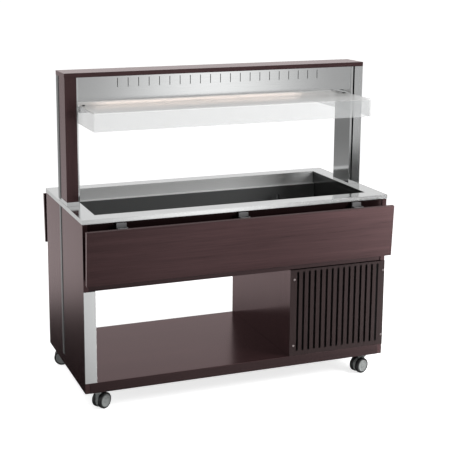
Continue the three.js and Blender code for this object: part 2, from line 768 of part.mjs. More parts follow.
function backOpenings(through) {
  const x = panelHalfX - PANEL_LIP;
  const z = panelHalfZ - PANEL_LIP;
  return [
    block([panelX - x, panelX + x], through, [panelZ - z, panelZ + z]),
    rod('y', GLAND_R - 3 + FIT, through, [glandX, glandZ], 20),
  ];
}

place(bar, 'grille_front', darkSteel,
  grille(ends.front, slotBottom, shelfCeiling - GRILLE_MARGIN_TOP, () => []));
place(bar, 'grille_back', darkSteel,
  grille(ends.back, slotBottom, slotBottom + BACK_SLOT_HEIGHT, backOpenings));

// A sealed compressor can on a plate with four feet.
function compressor() {
  const plateBottom = shelfFloor + COMPRESSOR_FOOT;
  const canBottom = plateBottom + COMPRESSOR_PLATE;
  const shoulder = COMPRESSOR_R * 0.45;
  const top = canBottom + COMPRESSOR_HEIGHT;
  const profile = [
    [0, canBottom - COMPRESSOR_PLATE / 2],
    [COMPRESSOR_R * 0.8, canBottom - COMPRESSOR_PLATE / 2],
    [COMPRESSOR_R, canBottom + shoulder / 2],
    [COMPRESSOR_R, top - shoulder],
    [COMPRESSOR_R * 0.86, top - shoulder * 0.45],
    [COMPRESSOR_R * 0.5, top - shoulder * 0.1],
    [0, top],
  ];
  const halfX = COMPRESSOR_R * 1.25;
  const halfY = COMPRESSOR_R * 0.9;
  const plate = centredBlock(halfX, halfY, [plateBottom, canBottom]);
  const foot = COMPRESSOR_R / 4;
  const feet = [-1, 1].flatMap((sx) => [-1, 1].map((sy) => block(
    [sx * halfX, sx * (halfX - foot)],
    [sy * halfY, sy * (halfY - foot)],
    [shelfFloor, plateBottom + COMPRESSOR_PLATE / 2],
  )));
  const terminalBox = block(
    [-COMPRESSOR_R * 0.3, COMPRESSOR_R * 0.3],
    [COMPRESSOR_R * 0.8, COMPRESSOR_R * 1.15],
    [canBottom + COMPRESSOR_HEIGHT * 0.4, canBottom + COMPRESSOR_HEIGHT * 0.68],
  );
  return join(plate, ...feet, turned(profile), terminalBox).translate(dividerRight + COMPRESSOR_INSET_X, bodyY - COMPRESSOR_INSET_Y, 0);
}

function condenser() {
  const x = [condenserX - CONDENSER_LENGTH / 2, condenserX + CONDENSER_LENGTH / 2];
  const y = [-condenserFront, -condenserFront + CONDENSER_DEPTH];
  const z = [condenserBottom, condenserBottom + CONDENSER_HEIGHT];
  const spacing = (CONDENSER_LENGTH - SHEET) / (CONDENSER_FINS - 1);
  const fins = Array.from({ length: CONDENSER_FINS }, (_, index) => {
    const left = x[0] + index * spacing;
    return block([left, left + SHEET], y, z);
  });
  const pipeSpacing = CONDENSER_HEIGHT / CONDENSER_PIPES;
  const pipes = Array.from({ length: CONDENSER_PIPES }, (_, index) => rod(
    'x',
    COIL_PIPE_R,
    x,
    [(y[0] + y[1]) / 2, z[0] + (index + 0.5) * pipeSpacing],
    8,
  ));
  return join(...pipes, ...fins);
}

// The ring plate behind the condenser, with four arms that carry the fan's motor.
function fanShroud() {
  const half = CONDENSER_HEIGHT / 2;
  const y = [-shroudFront, -shroudBack];
  const x = condenserX;
  const plate = block([x - half, x + half], y, [condenserZ - half, condenserZ + half]);
  const hole = rod('y', FAN_HOLE_R, [y[0] - SHEET, y[1] + SHEET], [x, condenserZ], 32);
  const motorBack = motorFront - MOTOR_LENGTH;
  const motor = rod('y', MOTOR_R, [-motorFront, -motorBack], [x, condenserZ], 20);
  const shaft = rod('y', MOTOR_SHAFT_R, [-fanFront + MOTOR_GAP, -motorFront + MOTOR_GAP], [x, condenserZ], 12);
  const armReach = (FAN_HOLE_R + half) / 2;
  const armY = [-motorFront + MOTOR_GAP, -motorBack - MOTOR_GAP];
  const armHalf = SHROUD_DEPTH / 2;
  const arms = [-1, 1].flatMap((way) => [
    block([x, x + way * (armReach + armHalf)], armY, [condenserZ - armHalf, condenserZ + armHalf]),
    block([x + way * (armReach - armHalf), x + way * (armReach + armHalf)], [y[1] - SHEET, armY[1]],
      [condenserZ - armHalf, condenserZ + armHalf]),
  ]);
  return join(cut(plate, hole), motor, shaft, ...arms);
}

function fanBlade() {
  const hub = rod('y', FAN_HUB_R, [-fanFront, -fanFront + FAN_HUB_LENGTH], [0, 0], 20);
  const middle = -fanFront + FAN_HUB_LENGTH / 2;
  const blades = Array.from({ length: FAN_BLADES }, (_, index) => (
    block([0, FAN_R], [-1, 1], [-FAN_BLADE_WIDTH / 2, FAN_BLADE_WIDTH / 2])
      .rotateX(THREE.MathUtils.degToRad(FAN_BLADE_ANGLE - 90))
      .translate(0, middle, 0)
      .rotateY((2 * Math.PI * index) / FAN_BLADES)));
  const bore = rod('y', MOTOR_SHAFT_R + RUNNING_FIT, [-fanFront - SHEET, -fanFront + FAN_HUB_LENGTH + SHEET], [0, 0], 12);
  return cut(join(hub, ...blades), bore).translate(condenserX, 0, condenserZ);
}

place(bar, 'compressor', black, compressor());
place(bar, 'condenser', greySteel, condenser());
place(bar, 'fan_shroud', darkSteel, fanShroud());
place(bar, 'fan_blade', greySteel, fanBlade());

// ---------------------------------------------------------------- controls on the back

function controlPanel() {
  const boxX = panelHalfX - PANEL_LIP - FIT;
  const boxZ = panelHalfZ - PANEL_LIP - FIT;
  const faceplate = block([-panelHalfX, panelHalfX], [panelBack, panelFace], [-panelHalfZ, panelHalfZ]);
  const box = block([-boxX, boxX], [panelBack - PANEL_BOX, panelBack + PANEL_THICKNESS / 2], [-boxZ, boxZ]);
  const shaft = rod('y', KNOB_SHAFT_R, [panelFace - SHEET, panelFace + KNOB_LENGTH / 2], [KNOB_OFFSET, 0], 12);
  const pocketX = SWITCH_WIDTH / 2 + FIT;
  const pocketZ = SWITCH_HEIGHT / 2 + FIT;
  const pockets = Object.values(SWITCH_OFFSETS).map((offset) => (
    block([offset - pocketX, offset + pocketX], [panelBack - PANEL_BOX / 2, panelFace + SHEET], [-pocketZ, pocketZ])));
  return cut(join(faceplate, box, shaft), ...pockets).translate(panelX, 0, panelZ);
}

// The knob, open behind where it fits over its shaft.
function knob() {
  const back = panelFace + FIT;
  const body = rod('y', KNOB_R, [back, back + KNOB_LENGTH], [0, 0], 24);
  const pointer = block([-SHEET, SHEET], [back + KNOB_LENGTH - SHEET, back + KNOB_LENGTH + SHEET], [0, KNOB_R * 0.9]);
  const bore = rod('y', KNOB_SHAFT_R + RUNNING_FIT, [panelBack, panelFace + KNOB_LENGTH / 2 + FIT], [0, 0], 12);
  return cut(join(body, pointer), bore).translate(panelX + KNOB_OFFSET, 0, panelZ);
}

// A rocker in its pivot's own frame: two faces that meet at a shallow angle.
function rocker() {
  const half = SWITCH_HEIGHT / 2 - SWITCH_CLEARANCE;
  const heel = half - SWITCH_CLEARANCE;
  const rise = PANEL_THICKNESS + SWITCH_PROUD;
  const face = new THREE.Shape();
  face.moveTo(-half, rise);
  face.lineTo(0, PANEL_THICKNESS + SWITCH_PROUD / 2);
  face.lineTo(half, rise);
  face.lineTo(heel, -SWITCH_PROUD);
  face.lineTo(-heel, -SWITCH_PROUD);
  face.closePath();
  const depth = SWITCH_WIDTH - 2 * FIT;
  const basis = new THREE.Matrix4().makeBasis(
    new THREE.Vector3(0, 0, 1),
    new THREE.Vector3(0, 1, 0),
    new THREE.Vector3(-1, 0, 0),
  );
  const plate = new THREE.ExtrudeGeometry(face, { depth, bevelEnabled: false });
  return plate.applyMatrix4(basis).translate(depth / 2, 0, 0);
}

// A cable gland through the back grille: collar, neck and inner nut, with an open bore.
function cordGland() {
  const neck = GLAND_R - 3;
  const nutBack = grilleBack - FIT - GLAND_LENGTH / 2;
  const profile = [
    [GLAND_BORE_R, nutBack],
    [GLAND_R, nutBack],
    [GLAND_R, grilleBack - FIT],
    [neck, grilleBack - FIT],
    [neck, grilleFront + FIT],
    [GLAND_R, grilleFront + FIT],
    [GLAND_R, grilleFront + FIT + GLAND_LENGTH * 0.6],
    [neck, grilleFront + FIT + GLAND_LENGTH],
    [GLAND_BORE_R, grilleFront + FIT + GLAND_LENGTH],
    [GLAND_BORE_R, nutBack],
  ];
  return turned(profile, 20).rotateX(-Math.PI / 2).translate(glandX, 0, glandZ);
}

place(bar, 'control_panel', black, controlPanel());
place(bar, 'thermostat_knob', greySteel, knob());
for (const [name, offset] of Object.entries(SWITCH_OFFSETS)) {
  const pivot = groupAt(bar, [panelX + offset, panelBack, panelZ],
    [THREE.MathUtils.degToRad(SWITCH_TILT), 0, 0]);
  place(pivot, name, white, rocker());
}
place(bar, 'cord_gland', black, cordGland());

// ---------------------------------------------------------------- folding tray slides

const hingeXs = [-bodyX + HINGE_INSET, 0, bodyX - HINGE_INSET];
const stiffenerX = bodyX - STIFFENER_INSET;

// The fixed half: a rail on the apron with three brackets and their pins. Written for the front.
function flapHinge() {
  const wall = -apronFront - FIT;
  const railBottom = WORKTOP_HEIGHT - RAIL_DROP;
  const armTop = worktopBottom - BRACKET_TOP_GAP;
  const halfBracket = BRACKET_WIDTH / 2;
  const earInner = ARM_WIDTH / 2 + FIT;
  const earOuter = earInner + EAR_THICKNESS;
  const bridgeNear = -hingeY + KNUCKLE_R + HINGE_TO_BOARD - ARM_BAR;
  const bridgeFar = bridgeNear + EAR_THICKNESS;
  const rail = block(
    [-stiffenerX, stiffenerX],
    [wall - RAIL_BAR, wall],
    [railBottom, railBottom + RAIL_HEIGHT],
  );
  const brackets = hingeXs.flatMap((x) => [
    block([x - halfBracket, x + halfBracket], [wall - RAIL_BAR, wall], [railBottom, armTop]),
    block([x - halfBracket, x + halfBracket], [bridgeNear, wall], [armTop - BRACKET_ARM, armTop]),
    block([x - earOuter, x + earOuter], [bridgeNear, bridgeFar], [hingeZ - EAR_R, armTop]),
    ...[-1, 1].flatMap((way) => {
      const ear = [x + way * earInner, x + way * earOuter];
      return [
        block(ear, [-hingeY, bridgeFar], [hingeZ - EAR_R, hingeZ + EAR_R]),
        rod('x', EAR_R, ear, [-hingeY, hingeZ]),
      ];
    }),
    rod('x', HINGE_PIN_R, [x - earOuter, x + earOuter], [-hingeY, hingeZ], 12),
  ]);
  return join(rail, ...brackets);
}

const boardBack = -HINGE_TO_BOARD;

// The moving half: three arms with knuckles on a stiffener, in the hinge line's own frame.
function flapFrame() {
  const barY = [boardBack + FIT, boardBack + FIT + ARM_BAR];
  const halfArm = ARM_WIDTH / 2;
  const stiffener = block(
    [-stiffenerX, stiffenerX],
    barY,
    [-ARM_LENGTH, -ARM_LENGTH + STIFFENER],
  );
  const arms = hingeXs.flatMap((x) => [
    block([x - halfArm, x + halfArm], barY, [-ARM_LENGTH, KNUCKLE_R]),
    block([x - halfArm, x + halfArm], [barY[0], 0], [-KNUCKLE_R, KNUCKLE_R]),
    rod('x', KNUCKLE_R, [x - halfArm, x + halfArm], [0, 0]),
  ]);
  const bores = hingeXs.map((x) => (
    rod('x', HINGE_PIN_R + RUNNING_FIT, [x - ARM_WIDTH, x + ARM_WIDTH], [0, 0], 12)));
  return cut(join(stiffener, ...arms), ...bores);
}

for (const [name, turn] of Object.entries({ front: 0, back: Math.PI })) {
  const flap = groupAt(bar, [0, 0, 0], [0, 0, turn]);
  place(flap, `flap_hinge_${name}`, greySteel, flapHinge());
  const leaf = groupAt(flap, [0, -hingeY, hingeZ], [THREE.MathUtils.degToRad(FLAP_TILT), 0, 0]);
  place(leaf, `flap_frame_${name}`, greySteel, flapFrame());
  place(leaf, `flap_board_${name}`, wood, block(
    [-bodyX, bodyX],
    [boardBack - FLAP_BOARD, boardBack],
    [HINGE_TO_EDGE - FLAP_HEIGHT, HINGE_TO_EDGE],
  ));
}

// ---------------------------------------------------------------- castors

// Twin wheels on one axle, turned round X, with a flat of their outline on the floor.
function castorWheels() {
  const facets = 24;
  const inner = WHEEL_GAP / 2;
  const outer = inner + WHEEL_WIDTH;
  const tread = WHEEL_R / Math.cos(Math.PI / facets);
  const profile = [
    [0, -outer],
    [WHEEL_FACE_R, -outer],
    [WHEEL_FACE_R + WHEEL_CROWN, -outer + WHEEL_CROWN],
    [tread - WHEEL_CROWN, -outer + WHEEL_CROWN],
    [tread, -outer + 2 * WHEEL_CROWN],
    [tread, -inner - WHEEL_CROWN],
    [tread - WHEEL_CROWN, -inner],
    [AXLE_R, -inner],
  ];
  const mirrored = profile.map(([radius, height]) => [radius, -height]).reverse();
  const wheels = turned([...profile, ...mirrored], facets).rotateY(Math.PI / 2);
  return wheels.rotateX(Math.PI / facets);
}

// The housing between the wheels: a round web and the neck that turns on the stem.
function castorFork() {
  const web = rod('x', FORK_R, [-forkHalf, forkHalf], [0, WHEEL_R], 28);
  const neckBottom = 2 * WHEEL_R + 1;
  const neckTop = CASTOR_HEIGHT - CASTOR_PLATE_THICKNESS - NECK_GAP;
  const strut = block(
    [-forkHalf, forkHalf],
    [0, CASTOR_TRAIL + forkHalf],
    [WHEEL_R, neckTop - NECK_GAP],
  );
  const neck = rod('z', NECK_R, [neckBottom, neckTop], [0, CASTOR_TRAIL], 20);
  const axleBore = rod('x', AXLE_R + RUNNING_FIT, [-WHEEL_GAP, WHEEL_GAP], [0, WHEEL_R], 12);
  const stemEnd = CASTOR_HEIGHT - CASTOR_PLATE_THICKNESS - STEM_LENGTH;
  const stemBore = rod('z', STEM_R + RUNNING_FIT, [stemEnd - NECK_GAP, CASTOR_HEIGHT], [0, CASTOR_TRAIL]);
  return cut(join(web, strut, neck), axleBore, stemBore);
}

// Degrees that each castor is turned about its stem.
const castorTurns = { left_front: 122, right_front: -73, left_back: -107, right_back: 40 };

for (const [sideName, side] of Object.entries(sides)) {
  for (const [endName, end] of Object.entries(ends)) {
    const name = `${sideName}_${endName}`;
    const turn = THREE.MathUtils.degToRad(castorTurns[name]);
    const castor = groupAt(bar, [side * castorX, end * castorY, 0], [0, 0, turn]);
    const parts = groupAt(castor, [0, -CASTOR_TRAIL, 0]);
    place(parts, `castor_fork_${name}`, wheelGrey, castorFork());
    place(groupAt(parts, [0, 0, WHEEL_R]), `castor_wheels_${name}`, black, castorWheels());
  }
}

export default bar;
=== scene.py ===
import json
import math

import bmesh
import bpy
from mathutils import Matrix, Vector

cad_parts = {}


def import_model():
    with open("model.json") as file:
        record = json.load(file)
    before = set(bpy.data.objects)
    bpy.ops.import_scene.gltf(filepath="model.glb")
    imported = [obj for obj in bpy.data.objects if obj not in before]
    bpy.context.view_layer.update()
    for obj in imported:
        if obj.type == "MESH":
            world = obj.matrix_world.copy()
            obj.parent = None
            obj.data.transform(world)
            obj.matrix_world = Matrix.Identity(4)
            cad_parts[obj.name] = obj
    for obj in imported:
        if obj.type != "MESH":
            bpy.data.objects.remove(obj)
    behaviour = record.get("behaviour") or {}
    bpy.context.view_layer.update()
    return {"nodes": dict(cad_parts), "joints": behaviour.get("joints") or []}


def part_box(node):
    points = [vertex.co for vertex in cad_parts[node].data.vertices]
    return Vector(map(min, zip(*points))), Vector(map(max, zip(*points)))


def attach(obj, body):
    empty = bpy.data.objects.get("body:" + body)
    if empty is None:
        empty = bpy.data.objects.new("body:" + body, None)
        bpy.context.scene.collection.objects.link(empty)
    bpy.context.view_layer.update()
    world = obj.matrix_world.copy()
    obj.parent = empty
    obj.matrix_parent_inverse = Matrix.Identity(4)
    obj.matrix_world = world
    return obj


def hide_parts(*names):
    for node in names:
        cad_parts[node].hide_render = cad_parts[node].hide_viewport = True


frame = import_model()

nodes = frame["nodes"]
joints = {joint["name"]: joint for joint in frame["joints"]}

CORNERS = ("left_front", "left_back", "right_front", "right_back")
SIDES = ("left", "right")
ENDS = ("front", "back")


# ---------------------------------------------------------------- materials

class Graph:
    """Shorthand for building a tree of shader nodes."""

    def __init__(self, tree):
        self.tree = tree

    def add(self, kind, **settings):
        node = self.tree.nodes.new(kind)
        for name, value in settings.items():
            setattr(node, name, value)
        return node

    def link(self, source, target):
        self.tree.links.new(source, target)

    def feed(self, value, socket):
        """Links a socket, or writes a constant."""
        if isinstance(value, bpy.types.NodeSocket):
            self.link(value, socket)
        else:
            socket.default_value = value

    def math(self, operation, *values):
        node = self.add("ShaderNodeMath", operation=operation)
        for value, socket in zip(values, node.inputs):
            self.feed(value, socket)
        return node.outputs[0]

    def step(self, value, start, end, low=0.0, high=1.0, kind="SMOOTHSTEP"):
        """A fade from low to high, as the value goes from start to end."""
        spread = self.add("ShaderNodeMapRange", interpolation_type=kind)
        limits = {"From Min": start, "From Max": end, "To Min": low, "To Max": high}
        for socket, number in limits.items():
            spread.inputs[socket].default_value = number
        self.link(value, spread.inputs["Value"])
        return spread.outputs["Result"]

    def noise(self, stretch, scale, detail=3.0):
        """Noise on the object's own coordinates, stretched by a factor along each axis."""
        mapping = self.add("ShaderNodeMapping")
        mapping.inputs["Scale"].default_value = stretch
        self.link(self.coordinates, mapping.inputs["Vector"])
        noise = self.add("ShaderNodeTexNoise")
        noise.inputs["Scale"].default_value = scale
        noise.inputs["Detail"].default_value = detail
        self.link(mapping.outputs["Vector"], noise.inputs["Vector"])
        return noise.outputs["Fac"]

    def product(self, first, *rest):
        """All the factors multiplied."""
        for factor in rest:
            first = self.math("MULTIPLY", first, factor)
        return first

    def ramp(self, factor, *stops):
        """A colour ramp: pairs of position and colour, with or without its alpha."""
        ramp = self.add("ShaderNodeValToRGB")
        elements = ramp.color_ramp.elements
        while len(elements) < len(stops):
            elements.new(0.5)
        for element, (position, colour) in zip(elements, stops):
            element.position = position
            element.color = colour if len(colour) == 4 else (*colour, 1)
        self.link(factor, ramp.inputs["Fac"])
        return ramp.outputs["Color"]

    def span(self, factor, low, high):
        """The factor, from 0 to 1, spread evenly from low to high."""
        return self.step(factor, 0.0, 1.0, low, high, "LINEAR")

    def split(self, vector):
        """The three parts of a vector."""
        parts = self.add("ShaderNodeSeparateXYZ")
        self.link(vector, parts.inputs["Vector"])
        return parts.outputs

    def mix(self, factor, first, second, blend="MIX"):
        mix = self.add("ShaderNodeMix", data_type="RGBA", blend_type=blend)
        for socket, value in ((0, factor), (6, first), (7, second)):
            self.feed(value, mix.inputs[socket])
        return mix.outputs[2]


class Look(Graph):
    """A Principled material with a small tree of nodes feeding it."""

    def __init__(self, name, **constants):
        self.material = bpy.data.materials.new(name)
        self.material.use_nodes = True
        super().__init__(self.material.node_tree)
        self.surface = self.tree.nodes["Principled BSDF"]
        for socket, value in constants.items():
            self.surface.inputs[socket.replace("_", " ")].default_value = value
        self.coordinates = self.add("ShaderNodeTexCoord").outputs["Object"]

    def bump(self, height, distance, strength=1.0, edge=0.0):
        """Relief from a height, on edges rounded by the given radius."""
        bump = self.add("ShaderNodeBump")
        bump.inputs["Distance"].default_value = distance
        bump.inputs["Strength"].default_value = strength
        self.link(height, bump.inputs["Height"])
        if edge:
            self.link(self.rounded(edge), bump.inputs["Normal"])
        self.link(bump.outputs["Normal"], self.surface.inputs["Normal"])

    def rounded(self, radius):
        bevel = self.add("ShaderNodeBevel", samples=4)
        bevel.inputs["Radius"].default_value = radius
        return bevel.outputs["Normal"]


def srgb(red, green, blue):
    """A colour written as 0 to 255, in linear light."""
    def linear(level):
        share = level / 255
        return share / 12.92 if share <= 0.04045 else ((share + 0.055) / 1.055) ** 2.4
    return (linear(red), linear(green), linear(blue), 1)


def grey(level):
    """A plain grey, or the same number on a socket that takes a colour."""
    return (level, level, level, 1)


def along(axis, fine, coarse):
    """Stretch factors with the coarse one along an axis."""
    return tuple(coarse if name == axis else fine for name in "xyz")


WOOD_LIGHT = srgb(62, 43, 44)
WOOD_DARK = srgb(50, 33, 34)
WOOD_SHEEN = (1.0, 0.76, 0.77, 1)
WOOD_SHADE = 0.45
STEEL = srgb(202, 203, 203)
BRIDGE_TONE = srgb(189, 190, 190)
STRIP_TONE = srgb(128, 129, 129)
# Painted light and shade in the well: a lighter steel tone for its long walls, darker ones for its
# tank and its end walls
LONG_WALL_PAINTED_LIGHT_TONE = srgb(214, 215, 215)
TANK_PAINTED_SHADE_TONE = srgb(96, 97, 97)
END_WALL_PAINTED_SHADE_TONE = srgb(112, 113, 113)

# Where looks change: the well's sides from the middle of the bar, its heights, where the guard's
# top plate starts, the height of the base board's darker part, and how wide such a change is
WELL_END = 0.67
WELL_SIDE = 0.2735
WELL_RIM = 0.8946
WELL_LEDGE = 0.835
GUARD_PLATE = 1.3445
BASE_SHADE = 0.1475
HAIR = 0.001


def dark_wood(name, grain, depth=1.0, shaded_below=None):
    """Satin wenge laminate: fine pores and broader bands along the grain. A depth below one makes
    it darker, as painted shade, and below a given height the wood is much darker."""
    look = Look(name, Metallic=0.5, Specular_IOR_Level=0.44, Specular_Tint=WOOD_SHEEN)
    pores = look.noise(along(grain, 520, 7), 1, 3)
    bands = look.noise(along(grain, 46, 0.9), 1, 4)
    light, dark = ([level * depth for level in tone[:3]] for tone in (WOOD_LIGHT, WOOD_DARK))
    tone = look.ramp(bands, (0.3, dark), (0.7, light))
    pore = look.ramp(pores, (0.3, (0.7, 0.7, 0.7)), (0.62, (1.1, 1.1, 1.1)))
    colour = look.mix(1.0, tone, pore, "MULTIPLY")
    if shaded_below:
        height = look.split(look.coordinates)["Z"]
        shade = look.step(height, shaded_below, shaded_below - 2 * HAIR)
        colour = look.mix(shade, colour, look.mix(1.0, colour, grey(WOOD_SHADE), "MULTIPLY"))
    look.link(colour, look.surface.inputs["Base Color"])
    look.link(look.span(pores, 0.24, 0.18), look.surface.inputs["Roughness"])
    look.bump(pores, 0.0001, 0.15, 0.001)
    return look.material


def brushed_steel(name, grain, colour, roughness=0.15, metallic=1.0):
    """Stainless sheet with fine brush lines along one axis."""
    look = Look(name, Metallic=metallic)
    lines = look.noise(along(grain, 700, 9), 1, 2)
    dark = tuple(level * 0.93 for level in colour[:3])
    look.link(look.ramp(lines, (0.3, dark), (0.7, colour)), look.surface.inputs["Base Color"])
    look.link(look.span(lines, roughness + 0.03, roughness - 0.03), look.surface.inputs["Roughness"])
    look.bump(lines, 0.00002, 0.05, 0.0007)
    return look


def well_steel(name):
    """Steel round the well, by its place: satin on the long walls and the ledge, darker in the
    tank below them, smoother on the end walls, and brushed like the worktop outside. The tones
    by place are painted light and shade: lighter on the long walls, darker in the tank and on the end
    walls."""
    look = brushed_steel(name, "x", STEEL)
    x, y, z = (look.math("ABSOLUTE", part) for part in look.split(look.coordinates))
    below = look.step(z, WELL_LEDGE - HAIR, WELL_LEDGE - 3 * HAIR)
    ends = look.step(x, WELL_END - 2 * HAIR, WELL_END - HAIR)
    inside = look.product(look.step(x, WELL_END + 2 * HAIR, WELL_END + HAIR / 2),
                          look.step(y, WELL_SIDE + 2 * HAIR, WELL_SIDE + HAIR / 2),
                          look.step(z, WELL_RIM, WELL_RIM - HAIR))
    surface = look.surface.inputs
    lines = surface["Base Color"].links[0].from_socket
    rough = surface["Roughness"].links[0].from_socket
    colour = look.mix(ends, look.mix(below, LONG_WALL_PAINTED_LIGHT_TONE, TANK_PAINTED_SHADE_TONE), END_WALL_PAINTED_SHADE_TONE)
    colour = look.mix(0.25, colour, lines, "MULTIPLY")
    for socket, outside, within in (("Base Color", lines, colour),
                                    ("Roughness", rough, look.mix(ends, grey(0.3), grey(0.12))),
                                    ("Metallic", grey(1), look.mix(ends, grey(0.35), grey(0.85)))):
        look.link(look.mix(inside, outside, within), surface[socket])
    return look.material


def painted(name, colour, roughness=0.4, texture=0.1, metallic=0.0, shine=0.4, tint=(1, 1, 1, 1)):
    """Powder paint or moulded plastic: a slight mottle and a fine orange-peel surface."""
    look = Look(name, Metallic=metallic, Specular_IOR_Level=shine, Specular_Tint=tint)
    grain = look.noise((1, 1, 1), 1400, 2)
    cloud = look.noise((1, 1, 1), 14, 3)
    dark = tuple(level * (1 - texture) for level in colour[:3])
    look.link(look.ramp(cloud, (0.35, dark), (0.65, colour)), look.surface.inputs["Base Color"])
    look.link(look.span(grain, roughness - 0.06, roughness + 0.06), look.surface.inputs["Roughness"])
    look.bump(grain, 0.0001, 0.2, 0.0008)
    return look.material


def clear_acrylic():
    """Clear sheet with a soft white sheen painted in as a whitish, partly opaque colour, stronger on
    the top plate at a shallow angle.
    """
    look = Look("clear_acrylic", IOR=1.49)
    sheen_cloud = look.noise((2, 2, 2), 3, 4)
    plate = look.step(look.split(look.coordinates)["Z"], GUARD_PLATE - 2 * HAIR, GUARD_PLATE)
    # The whitish tones under partial alpha are a painted sheen of reflections on the sheet
    lip = look.ramp(sheen_cloud, (0.3, srgb(196, 198, 198)), (0.7, srgb(206, 208, 208)))
    look.link(look.mix(plate, lip, srgb(228, 228, 227)), look.surface.inputs["Base Color"])
    rough = look.math("ADD", look.span(sheen_cloud, 0.06, 0.12), look.math("MULTIPLY", plate, 0.1))
    look.link(rough, look.surface.inputs["Roughness"])
    view = look.add("ShaderNodeLayerWeight")
    shallow = look.step(view.outputs["Facing"], 0.45, 0.8, -0.08, 0.4)
    cover = look.math("ADD", look.span(sheen_cloud, 0.29, 0.33), look.math("MULTIPLY", plate, shallow))
    look.link(cover, look.surface.inputs["Alpha"])
    return look.material


def glowing(name, colour, strength):
    """Lit glass, with a faint cloud in its glow."""
    look = Look(name, Roughness=0.3, Base_Color=colour, Emission_Color=colour,
                Emission_Strength=strength)
    cloud = look.noise((6, 40, 40), 1, 2)
    dark = tuple(level * 0.94 for level in colour[:3])
    look.link(look.ramp(cloud, (0.2, dark), (0.8, colour)), look.surface.inputs["Emission Color"])
    return look.material


def foam_jacket():
    """Cream foam with open cells."""
    look = Look("foam", Roughness=0.95)
    cells = look.noise((1, 1, 1), 500, 3)
    look.link(look.ramp(cells, (0.3, srgb(206, 196, 160)), (0.7, srgb(232, 224, 194))),
              look.surface.inputs["Base Color"])
    look.bump(cells, 0.001, 0.4)
    return look.material


WOOD_ALONG = {axis: dark_wood(f"dark_wood_{axis}", axis) for axis in "xz"}
# The apron sits in the shadow behind the flap and under the worktop: its wood is made darker as
# painted shade
APRON_WOOD_PAINTED_SHADE = dark_wood("dark_wood_apron_painted_shade", "x", 0.45)
UPRIGHT_STEEL = brushed_steel("stainless_z", "z", STEEL).material
BROWN = painted("brown_paint", srgb(31, 20, 20), 0.24, shine=0.22, tint=(1.0, 0.8, 0.8, 1))
BLACK_PAINT = painted("black_paint", srgb(9, 9, 9), 0.6, shine=0.08)
BLACK_PLASTIC = painted("black_plastic", srgb(24, 24, 24), 0.5)
WHITE_PAINT = painted("white_paint", srgb(238, 236, 230), 0.35, 0.03)
ZINC = painted("zinc", srgb(168, 169, 170), 0.34, 0.15, 0.6)
# The hinges under the worktop's edge behind the flap take a darker copy of the zinc, as painted shade
HINGE_STEEL_PAINTED_SHADE = painted("hinge_steel_painted_shade", srgb(124, 124, 125), 0.34, 0.15, 0.6)
DARK_FINS = painted("dark_fins", srgb(44, 44, 46), 0.5, 0.2, 0.6)
GREY_PLASTIC = painted("grey_plastic", srgb(142, 145, 144), 0.45, 0.05)
DISC_PLASTIC = painted("disc_plastic", srgb(148, 151, 150), 0.45, 0.05, shine=0.25)
TYRE = painted("tyre", srgb(18, 18, 19), 0.55, 0.15)
WHITE_PLASTIC = painted("white_plastic", srgb(236, 234, 228), 0.3, 0.03)
COPPER = painted("copper", srgb(190, 120, 78), 0.3, 0.2, 1.0)
# Near-black foam for the mats and sheets behind the slots, which stand for the shade there (painted
# shade)
PAINTED_SHADE_FOAM = painted("painted_shade_foam", srgb(6, 5, 5), 0.95, 0.5, shine=0.05)
PILLAR_STEEL = brushed_steel("pillar_steel", "z", STEEL, 0.09).material
BRIDGE_STEEL = brushed_steel("bridge_steel", "x", BRIDGE_TONE, 0.09).material
STRIP_STEEL = brushed_steel("strip_steel", "z", STRIP_TONE, 0.3).material
SCREW = painted("screw", srgb(168, 158, 158), 0.3, 0.1, 0.9)
RAW_BOARD = painted("raw_board", srgb(170, 148, 116), 0.85, 0.3)

LOOKS = {
    "base_tray": dark_wood("dark_wood_base", "x", shaded_below=BASE_SHADE),
    "under_panel": WOOD_ALONG["x"],
    "divider": WOOD_ALONG["z"],
    "top_board": WOOD_ALONG["x"],
    "worktop": well_steel("worktop_steel"),
    "worktop_core": RAW_BOARD,
    "well_tank": well_steel("well_steel"),
    "well_insulation": foam_jacket(),
    "evaporator_coil": COPPER,
    "standpipe": UPRIGHT_STEEL,
    "lamp_tray": WHITE_PAINT,
    "lamp_tube": glowing("lamp_glass", srgb(255, 238, 230), 2.3),
    "sneeze_guard": clear_acrylic(),
    "compressor": BLACK_PAINT,
    "condenser": DARK_FINS,
    "fan_shroud": BLACK_PAINT,
    "fan_blade": DARK_FINS,
    "control_panel": BLACK_PLASTIC,
    "thermostat_knob": GREY_PLASTIC,
    "power_switch": WHITE_PLASTIC,
    "light_switch": WHITE_PLASTIC,
    "cord_gland": BLACK_PLASTIC,
}
for side in SIDES:
    LOOKS[f"castor_beam_{side}"] = ZINC
    LOOKS[f"end_liner_{side}"] = WOOD_ALONG["z"]
    LOOKS[f"pillar_post_{side}"] = PILLAR_STEEL
    LOOKS[f"pillar_cover_{side}"] = PILLAR_STEEL
    LOOKS[f"pillar_cladding_{side}"] = WOOD_ALONG["z"]
for end in ENDS:
    LOOKS[f"apron_{end}"] = APRON_WOOD_PAINTED_SHADE
    LOOKS[f"bridge_face_{end}"] = BRIDGE_STEEL
    LOOKS[f"grille_{end}"] = BROWN
    LOOKS[f"flap_hinge_{end}"] = HINGE_STEEL_PAINTED_SHADE
    LOOKS[f"flap_frame_{end}"] = ZINC
    LOOKS[f"flap_board_{end}"] = WOOD_ALONG["x"]
